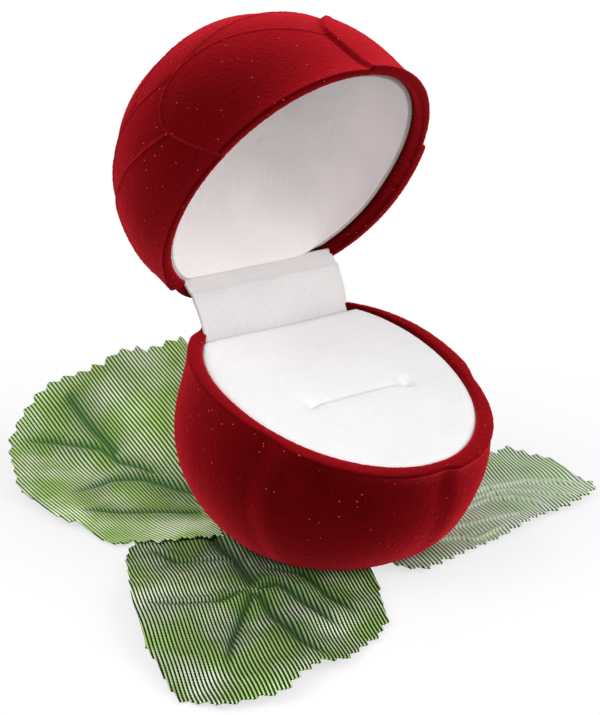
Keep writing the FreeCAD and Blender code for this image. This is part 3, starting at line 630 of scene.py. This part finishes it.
facing /= np.maximum(np.linalg.norm(facing, axis=-1, keepdims=True), 1e-9)
outer_skin = inner_skin + satin_thickness * facing
inner_skin = inner_skin + facing * chance.normal(0, 0.003, inner_skin.shape[:2])[..., None]
lining_places = np.concatenate([outer_skin[::-1], inner_skin])
lining = closed_rings("lid_lining_satin", swung_open(lining_places))
lining.data.flip_normals()
lining.data.materials.append(lining_satin)
former = closed_rings("lid_former_card", swung_open(np.concatenate([
    (outer_skin + card_thickness * facing)[::-1], outer_skin + glue_gap * facing,
])))
former.data.flip_normals()
former.data.materials.append(card_stock.material)
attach(former, "lid")
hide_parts("lid_former")
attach(lining, "lid")
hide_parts("lid_lining")


# ---- The hinge's cover -----------------------------------------------------------------------
# A strip of the same satin, glued behind the pad and inside the lining's back edge. It hides the
# hinge and has a pressed fold across it. It is built in one shape, with the lid open.
cover_front, cover_foot, cover_head = 14.75, -2.4, 1.3
cover_bow, cover_thickness, cover_steps = 1.5, 0.4, 60
cover_half_width, cover_widening = 12.8, 0.6
fold_place, fold_width, fold_push = 0.72, 0.04, np.array([0, -0.3, 0.15])
cover_low = from_rim(0, cover_front, cover_foot)
cover_high = swung_open(from_rim(0, lining_back, cover_head))
way = np.linspace(0, 1, cover_steps)
cover_line = bowed_line(cover_low, cover_high, cover_bow, cover_steps)
cover_line += fold_push * np.exp(-((way - fold_place) / fold_width) ** 2)[:, None]
hinge_cover = ribbon("hinge_cover_cloth", cover_line, cover_half_width + cover_widening * way,
                     columns=100, thick=cover_thickness)
# The cover's satin is tinted darker than the lining's, as painted shade; the cloth is the same.
hinge_cover.data.materials.append(cloth_white("cover_satin_painted_shade", (0.76, 0.725, 0.73)))
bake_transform(hinge_cover)
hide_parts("hinge_cover")


# ---- The three leaves ------------------------------------------------------------------------
# Green leaves punched from a thin see-through ribbon weave with toothed edges, each heat-pressed
# with veins. Their roots are clamped between the bowl's foot and the green plastic disc.
fold_angles = (-82.0, -48.0, -22.0, 0.0, 22.0, 48.0, 82.0)
fold_apex, leaf_base, leaf_skin = 16.2, 0.82, 0.22
tooth_pitch, tooth_depth, lowest, thread_rows = 2.4, 1.0, -0.72, 4
curve_steps, tooth_steps, leaf_columns, fold_softness = 8, 10, 110, 1.2


def fan_height(along, side, length, rises):
    """The height of a leaf that is folded along rays fanning out from beside the foot."""
    ahead = along - fold_apex
    angle = np.degrees(np.arctan2(side, ahead))
    out = np.zeros_like(ahead)
    rays = [(math.cos(math.radians(a)), math.sin(math.radians(a)), rise / length)
            for a, rise in zip(fold_angles, rises)]
    for i in range(len(rays) - 1):
        across = np.cross(rays[i], rays[i + 1])
        here = -(across[0] * ahead + across[1] * side) / across[2]
        out = np.where((angle >= fold_angles[i]) & (angle < fold_angles[i + 1]), here, out)
    return out


def from_line(along, side, line):
    """How far places are from a line, and how far along it the nearest point lies, 0 to 1."""
    line = np.asarray(line, float)
    near = np.full(along.shape, 1e9)
    way = np.zeros(along.shape)
    steps = len(line) - 1
    for i in range(steps):
        start, run = line[i], line[i + 1] - line[i]
        share = ((along - start[0]) * run[0] + (side - start[1]) * run[1]) / (run @ run)
        share = np.clip(share, 0, 1)
        away = np.hypot(along - start[0] - share * run[0], side - start[1] - share * run[1])
        way = np.where(away < near, (i + share) / steps, way)
        near = np.minimum(near, away)
    return near, way


def toothed(outline, pitch, depth):
    """The outline through the given corners, rounded and then cut with pinking teeth."""
    corners = np.asarray(outline, float)
    closed = np.vstack([corners[-1:], corners, corners[:2]])
    fine = []
    for i in range(1, len(closed) - 2):
        a, b, c, d = closed[i - 1:i + 3]
        for t in np.arange(curve_steps) / curve_steps:
            fine.append(0.5 * (2 * b + (c - a) * t + (2 * a - 5 * b + 4 * c - d) * t * t
                               + (3 * b - a - 3 * c + d) * t ** 3))
    fine = np.array(fine + fine[:1])
    run = np.concatenate([[0], np.cumsum(np.linalg.norm(np.diff(fine, axis=0), axis=1))])
    teeth = int(run[-1] / pitch)
    mark = np.linspace(0, run[-1], teeth * tooth_steps, endpoint=False)
    line = np.stack([np.interp(mark, run, fine[:, 0]), np.interp(mark, run, fine[:, 1])], -1)
    along = np.roll(line, -1, 0) - np.roll(line, 1, 0)
    along /= np.linalg.norm(along, axis=1, keepdims=True)
    area = np.sum(line[:, 0] * np.roll(line[:, 1], -1) - line[:, 1] * np.roll(line[:, 0], -1))
    out = np.stack([along[:, 1], -along[:, 0]], -1) * np.sign(area)
    sizes = np.repeat(chance.uniform(0.6, 1.3, teeth), tooth_steps)
    phase = np.tile(np.arange(tooth_steps) / tooth_steps, teeth)
    bite = np.where(phase < 0.7, phase / 0.7, (1 - phase) / 0.3)
    free = smooth(9, 16, np.hypot(line[:, 0], line[:, 1]))
    return line + out * ((bite - 0.5) * depth * sizes * free)[:, None]


def leaf_finish(name, gap, thread, vein, glint, vein_paler):
    """Pale threads over dark gaps, patched with brighter painted glints, and the pressed veins' own
    green.
    """
    finish = Finish(name, Roughness=0.6, Specular_IOR_Level=0.15, Sheen_Weight=0.05,
                    Sheen_Roughness=0.5)
    woven = finish.sums("SINE", finish.sums("MULTIPLY", finish.attribute("thread"), 2 * math.pi))
    woven = finish.sums("MULTIPLY_ADD", woven, 0.5, 0.5)
    weft = finish.sums("SINE", finish.sums("MULTIPLY", finish.attribute("weft"), 2 * math.pi))
    level = finish.sums("ADD", woven, finish.sums("MULTIPLY", weft, 0.1))
    painted_glint_patches = finish.ramp(finish.grain(8.0, 3.0), (0.42, 0.0), (0.66, 1.0))
    # Painted glints: in cloudy patches the threads take the near-white glint colour.
    light = finish.mix(painted_glint_patches, [c * 1.15 for c in thread], [c * 1.1 for c in glint])
    shade = finish.ramp(finish.grain(14.0, 2.0), (0.3, 0.72), (0.7, 1.12))
    share = finish.ramp(level, (0.38, 0.0), (0.62, 1.0))
    cloth = finish.mix(share, [c * 0.55 for c in gap], light)
    cloth = finish.mix(1.0, cloth, shade, "MULTIPLY")
    beside = finish.sums("MULTIPLY", finish.attribute("around"), 0.5 - glint[2] * 0.1)
    cloth = finish.mix(beside, cloth, [c * 0.9 for c in (vein if vein_paler else gap)])
    pressed = finish.attribute("vein")
    if not vein_paler:
        pressed = finish.sums("MULTIPLY", pressed, 0.85)
    cloth = finish.mix(pressed, cloth, finish.mix(share, [c * 0.75 for c in vein], vein))
    finish.colour(cloth)
    finish.bump(level, 0.12, 0.6)
    return finish.material


def leaf(name, turn, length, rises, outline, veins, grain_angle, pitch, finish, press, droop):
    """A fine grid whose rows are the cloth's threads, cut off where they meet the outline."""
    edge = toothed(outline, tooth_pitch, tooth_depth)
    swing = math.radians(grain_angle)
    thread_way = np.array([math.cos(swing), math.sin(swing)])
    cross_way = np.array([-math.sin(swing), math.cos(swing)])
    run, off = edge @ thread_way, edge @ cross_way
    levels = np.arange(off.min() + 0.02, off.max() - 0.02, pitch / thread_rows)
    spans = []
    for level in levels:
        near, far = off - level, np.roll(off, -1) - level
        meets = (near > 0) != (far > 0)
        share = near[meets] / (near[meets] - far[meets])
        hits = run[meets] + (np.roll(run, -1)[meets] - run[meets]) * share
        spans.append((hits.min(), hits.max()) if len(hits) else (0.0, 0.0))
    spans = np.array(spans)
    spread = np.linspace(0, 1, leaf_columns)
    p = spans[:, :1] + (spans[:, 1:] - spans[:, :1]) * spread
    q = np.repeat(levels[:, None], leaf_columns, 1)
    along = p * thread_way[0] + q * cross_way[0]
    side = p * thread_way[1] + q * cross_way[1]
    height = fan_height(along, side, length, rises)
    height = (height + fan_height(along + fold_softness, side, length, rises)
              + fan_height(along, side + fold_softness, length, rises)
              + fan_height(along, side - fold_softness, length, rises)) / 4
    marked, around = np.zeros_like(height), np.zeros_like(height)
    for line, width, depth in veins:
        away, way = from_line(along, side, line)
        fade = smooth(0, 0.06, way) * smooth(1.02, 0.75, way)
        groove = np.exp(-(away / width) ** 2) * fade
        height += press * depth * (groove - 0.55 * np.exp(-(away / (2.6 * width)) ** 2) * fade)
        marked = np.maximum(marked, np.exp(-(away / (0.8 * width)) ** 2) * fade)
        around = np.maximum(around, np.exp(-(away / (4.0 * width)) ** 2) * fade)
    reach = np.hypot(along, side)
    free = smooth(13, 24, reach)
    height += 0.35 * free * np.sin(along * 0.33 + side * 0.21 + turn) * np.cos(side * 0.3)
    height += droop * smooth(-12, -20, side) * smooth(26, 18, along)
    height = np.where(free > 0, np.maximum(height, lowest), 0) * smooth(11.5, 15.5, reach)
    height += 0.05 * np.cos(2 * math.pi * q / pitch) * smooth(12, 15, reach)
    sine, cosine = math.sin(math.radians(turn)), math.cos(math.radians(turn))
    x, y = along * cosine - side * sine, along * sine + side * cosine
    upper = np.stack([x, y, leaf_base + leaf_skin + 0.06 + height], -1)
    lower = upper - np.array([0, 0, leaf_skin])
    here = np.arange(q.size).reshape(q.shape)
    sheet = grid_faces(here)
    below = sheet[:, ::-1] + q.size
    rim = border(here)
    after = np.roll(rim, -1)
    walls = np.stack([rim, rim + q.size, after + q.size, after], -1)
    corners = np.concatenate([upper.reshape(-1, 3), lower.reshape(-1, 3)]) * MM
    piece = new_piece(name, corners, np.concatenate([sheet, below, walls]).tolist())
    for label, values in (("thread", q / pitch), ("weft", p / (pitch * 1.1)), ("vein", marked),
                          ("around", around)):
        store = piece.data.attributes.new(label, "FLOAT", "POINT")
        store.data.foreach_set("value", np.tile(values.ravel(), 2).astype(np.float32))
    piece.data.materials.append(finish)
    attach(piece, "base")
    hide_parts(name.replace("_cloth", ""))
    return piece


leaf_left = leaf(
    "leaf_left_cloth", 122.0, 56.0, (0, 33.0, 21.0, 6.0, 1.5, -1.2, 0),
    ((5.5, -4.5), (7, -12), (12, -20), (20, -24.5), (28, -25), (34.9, -23.5), (40.2, -19.8),
     (44.6, -17.7), (46.9, -15.1), (49.4, -12.8), (54.0, -9.4), (55.5, -5.4), (55.6, -1.6),
     (54.5, 0.8), (51.4, 5.3), (47.5, 9.1), (43.5, 10.0), (39.4, 12.9), (34.6, 13.9),
     (31.3, 15.5), (26.9, 17.0), (26.0, 15.5), (18.6, 12.4), (12, 7.5), (7, 5)),
    ((((17, -0.6), (24.6, -0.9), (28.9, -0.8), (32.1, -0.4), (36.5, 1.5), (38.6, 4.1),
       (41.2, 7.7)), 0.6, 0.55),
     (((30.2, -1.8), (32.9, -1.9), (36.8, -1.8), (38.4, -2.3), (40.5, -3.0), (43.7, -3.0),
       (48.4, -2.5), (52.0, -1.5), (54.8, -0.6)), 0.45, 0.5),
     (((37.2, -2.5), (41.4, -4.7), (44.9, -6.3), (48.8, -8.5), (50.4, -9.8)), 0.8, 0.4),
     (((20, 2.6), (25, 5.0), (29.4, 6.8), (32.2, 8.1), (35.0, 9.4), (37.6, 11.1)), 0.5, 0.45)),
    grain_angle=-30.0, pitch=0.5,
    finish=leaf_finish(
        "leaf_left_weave", gap=(0.02, 0.085, 0.015), thread=(0.4, 0.6, 0.17),
        vein=(0.04, 0.15, 0.025), glint=(0.74, 0.86, 0.54), vein_paler=False,
    ),
    press=-1.0, droop=0.0,
)
leaf_front = leaf(
    "leaf_front_cloth", 214.0, 55.5, (0, 4.0, 3.0, -0.8, 2.0, -1.0, 0),
    ((5.5, -4.5), (4, -12), (6, -20), (11, -24.5), (16.7, -25.8), (27.8, -20.3),
     (34.4, -16.7), (38.2, -14.2), (45.1, -9.8), (47.8, -7.6), (50.2, -5.2), (52.8, -3),
     (54.6, -1), (54.6, 2.0), (54.7, 5.0), (52.4, 8.0), (50.2, 10.9), (45.8, 11.7),
     (40.9, 13.1), (38.6, 15.1), (34, 15.8), (30.5, 16.4), (25.9, 16.3), (20.7, 13.8),
     (15.2, 11.3), (11.8, 9.1), (7, 6)),
    ((((3.2, -21.6), (10.4, -14.8), (15.8, -9.4), (22.2, -4.6), (24.8, -3.0)), 1.3, 1.2),
     (((24.3, -3.2), (21.3, -0.5), (24.6, 3.7), (27.7, 7.8), (30.4, 12.0)), 0.9, 1.0),
     (((17.5, -4.6), (16.4, 0.7), (21.6, 6.7), (26.3, 13.2)), 0.8, 0.7),
     (((24.8, -3.0), (30.4, 2.3), (36.0, 8.0), (38.9, 13.0)), 0.8, 0.9),
     (((10.4, -14.8), (10.7, -20.7), (9.6, -26.0)), 0.7, 0.8),
     (((17.4, -8.7), (18.3, -13.4), (18.8, -17.2), (15.2, -23.9)), 0.7, 0.8),
     (((25.6, -4.2), (30.3, -6.4), (33.7, -10.5), (35.3, -15.1)), 0.7, 0.8),
     (((24.8, -3.0), (31.2, -2.3), (38.5, -0.8), (46, 1.5)), 0.7, 0.7)),
    grain_angle=35.0, pitch=0.52,
    finish=leaf_finish(
        "leaf_front_weave", gap=(0.004, 0.035, 0.003), thread=(0.36, 0.55, 0.15),
        vein=(0.008, 0.06, 0.005), glint=(0.8, 0.9, 0.64), vein_paler=False,
    ),
    press=-1.0, droop=-0.75,
)
leaf_right = leaf(
    "leaf_right_cloth", 351.0, 45.0, (0, 1.0, 0.5, 0.5, 1.0, 4.0, 0),
    ((5.5, -4.5), (3, -10), (1.9, -14.7), (3.7, -17.4), (5.9, -17.8), (9, -16.7), (13, -15.7),
     (16.3, -14.3), (20.1, -13.6), (24.5, -12.3), (29.7, -9.6), (35.3, -8.5), (40.7, -6.6),
     (43.2, -3.5), (42, -0.7), (40.5, 2.2), (42.7, 7.1), (40.7, 10.5), (37.9, 13.6),
     (35.9, 12.5), (30, 14), (22, 13), (14, 11.5), (9, 8)),
    ((((18, 1.4), (24, 1.8), (29.7, 2.2), (34.1, 2.4), (38.8, 0.1), (42.4, -4.8)), 0.6, 0.5),
     (((20, -1.0), (27.6, 0.1), (30.3, -0.4), (33.5, -1.8), (36.2, -4.5), (38.5, -7.2)), 0.6, 0.5),
     (((18, -2.5), (25.4, -1.6), (28.8, -2.8), (31.3, -5.1), (32.4, -8.8)), 0.6, 0.5),
     (((15, -7.4), (21.0, -8.4), (25.2, -8.5), (28.3, -8.0)), 0.55, 0.4),
     (((11, -10.4), (14.4, -11.0), (16.6, -12.5), (20.1, -11.8), (23.0, -11.4)), 0.55, 0.4)),
    grain_angle=85.0, pitch=0.62,
    finish=leaf_finish(
        "leaf_right_weave", gap=(0.01, 0.06, 0.01), thread=(0.6, 0.78, 0.46),
        vein=(0.6, 0.73, 0.52), glint=(0.85, 0.9, 0.78), vein_paler=True,
    ),
    press=1.0, droop=0.0,
)


# ---- The green disc --------------------------------------------------------------------------
# A thin moulded disc under the foot that clamps the leaves' roots and is what the box stands on.
# It is a hard piece of the frame.
green_plastic = Finish("green_plastic", Roughness=0.5)
green_plastic.colour(green_plastic.ramp(green_plastic.grain(3.0, 3.0), (0.3, (0.03, 0.12, 0.02)),
                                        (0.7, (0.05, 0.17, 0.03))))
green_plastic.bump(green_plastic.grain(0.5, 3.0), 0.04, 0.5)
finish_solid("leaf_disc", green_plastic)


# ---- The camera, the light and the ground ----------------------------------------------------
# A long lens looks down from the front left. Wide soft lights stand at both its sides and above
# it, and a pale floor runs off into white.
scene = bpy.context.scene
aim = np.array([0, 14.06, 29.45])
azimuth, elevation = math.radians(-35.41), math.radians(19.55)
away = np.array([
    math.sin(azimuth) * math.cos(elevation),
    -math.cos(azimuth) * math.cos(elevation),
    math.sin(elevation),
])
to_right = np.array([math.cos(azimuth), math.sin(azimuth), 0.0])
upward = np.cross(away, to_right)
distance, shift_right, shift_down = 299.66, 2.85, 5.42
stand = aim + away * distance + to_right * shift_right - upward * shift_down
lens = bpy.data.cameras.new("camera")
lens.lens, lens.sensor_width, lens.sensor_fit = 101.09, 36.0, "AUTO"
lens.clip_start, lens.clip_end = 0.01, 100.0
camera = bpy.data.objects.new("camera", lens)
scene.collection.objects.link(camera)
turned = Matrix([[to_right[i], upward[i], away[i]] for i in range(3)]).to_4x4()
turned.translation = Vector(stand * MM)
camera.matrix_world = turned
scene.camera = camera
scene.view_settings.view_transform = "Standard"

sky = bpy.data.worlds.new("sky")
sky.use_nodes = True
sky.node_tree.nodes["Background"].inputs["Color"].default_value = (0.98, 0.99, 1.0, 1)
sky.node_tree.nodes["Background"].inputs["Strength"].default_value = 0.5
scene.world = sky
for label, power, spread, side, near, height in (
    ("light_right", 1.55, 45, 1.0, 0.4, 0.5),
    ("light_left", 1.1, 50, -0.75, 0.4, 0.75),
    ("light_front", 0.7, 60, 0.1, 1.0, 0.2),
):
    sun = bpy.data.lights.new(label, "SUN")
    sun.energy, sun.angle = power, math.radians(spread)
    lamp = bpy.data.objects.new(label, sun)
    scene.collection.objects.link(lamp)
    lamp.rotation_mode = "QUATERNION"
    shine_from = Vector(to_right * side + away * near + np.array([0, 0, height]))
    lamp.rotation_quaternion = shine_from.to_track_quat("Z", "Y")

half_ground, bounced_grey, seen_grey, ground_glow = 4.0, 0.25, 0.95, 0.68
ground_corners = np.array([[-1, -1, 0], [1, -1, 0], [1, 1, 0], [-1, 1, 0]]) * half_ground
ground = new_piece("ground", ground_corners, [(0, 1, 2, 3)])
paper = bpy.data.materials.new("paper")
paper.use_nodes = True
web = paper.node_tree
board = web.nodes["Principled BSDF"]
board.inputs["Roughness"].default_value = 1.0
board.inputs["Specular IOR Level"].default_value = 0.0
glow = web.nodes.new("ShaderNodeEmission")
glow.inputs["Color"].default_value = (1, 1, 1, 1)
seen = web.nodes.new("ShaderNodeLightPath")
tone = web.nodes.new("ShaderNodeMix")
tone.data_type = "RGBA"
tone.inputs[first_colour].default_value = (*(bounced_grey,) * 3, 1)
tone.inputs[second_colour].default_value = (*(seen_grey,) * 3, 1)
web.links.new(seen.outputs["Is Camera Ray"], tone.inputs["Factor"])
web.links.new(tone.outputs[mixed_colour], board.inputs["Base Color"])
share = web.nodes.new("ShaderNodeMath")
share.operation = "MULTIPLY"
share.inputs[1].default_value = ground_glow
web.links.new(seen.outputs["Is Camera Ray"], share.inputs[0])
blend = web.nodes.new("ShaderNodeMixShader")
web.links.new(share.outputs[0], blend.inputs[0])
web.links.new(board.outputs[0], blend.inputs[1])
web.links.new(glow.outputs[0], blend.inputs[2])
web.links.new(blend.outputs[0], web.nodes["Material Output"].inputs["Surface"])
ground.data.materials.append(paper)
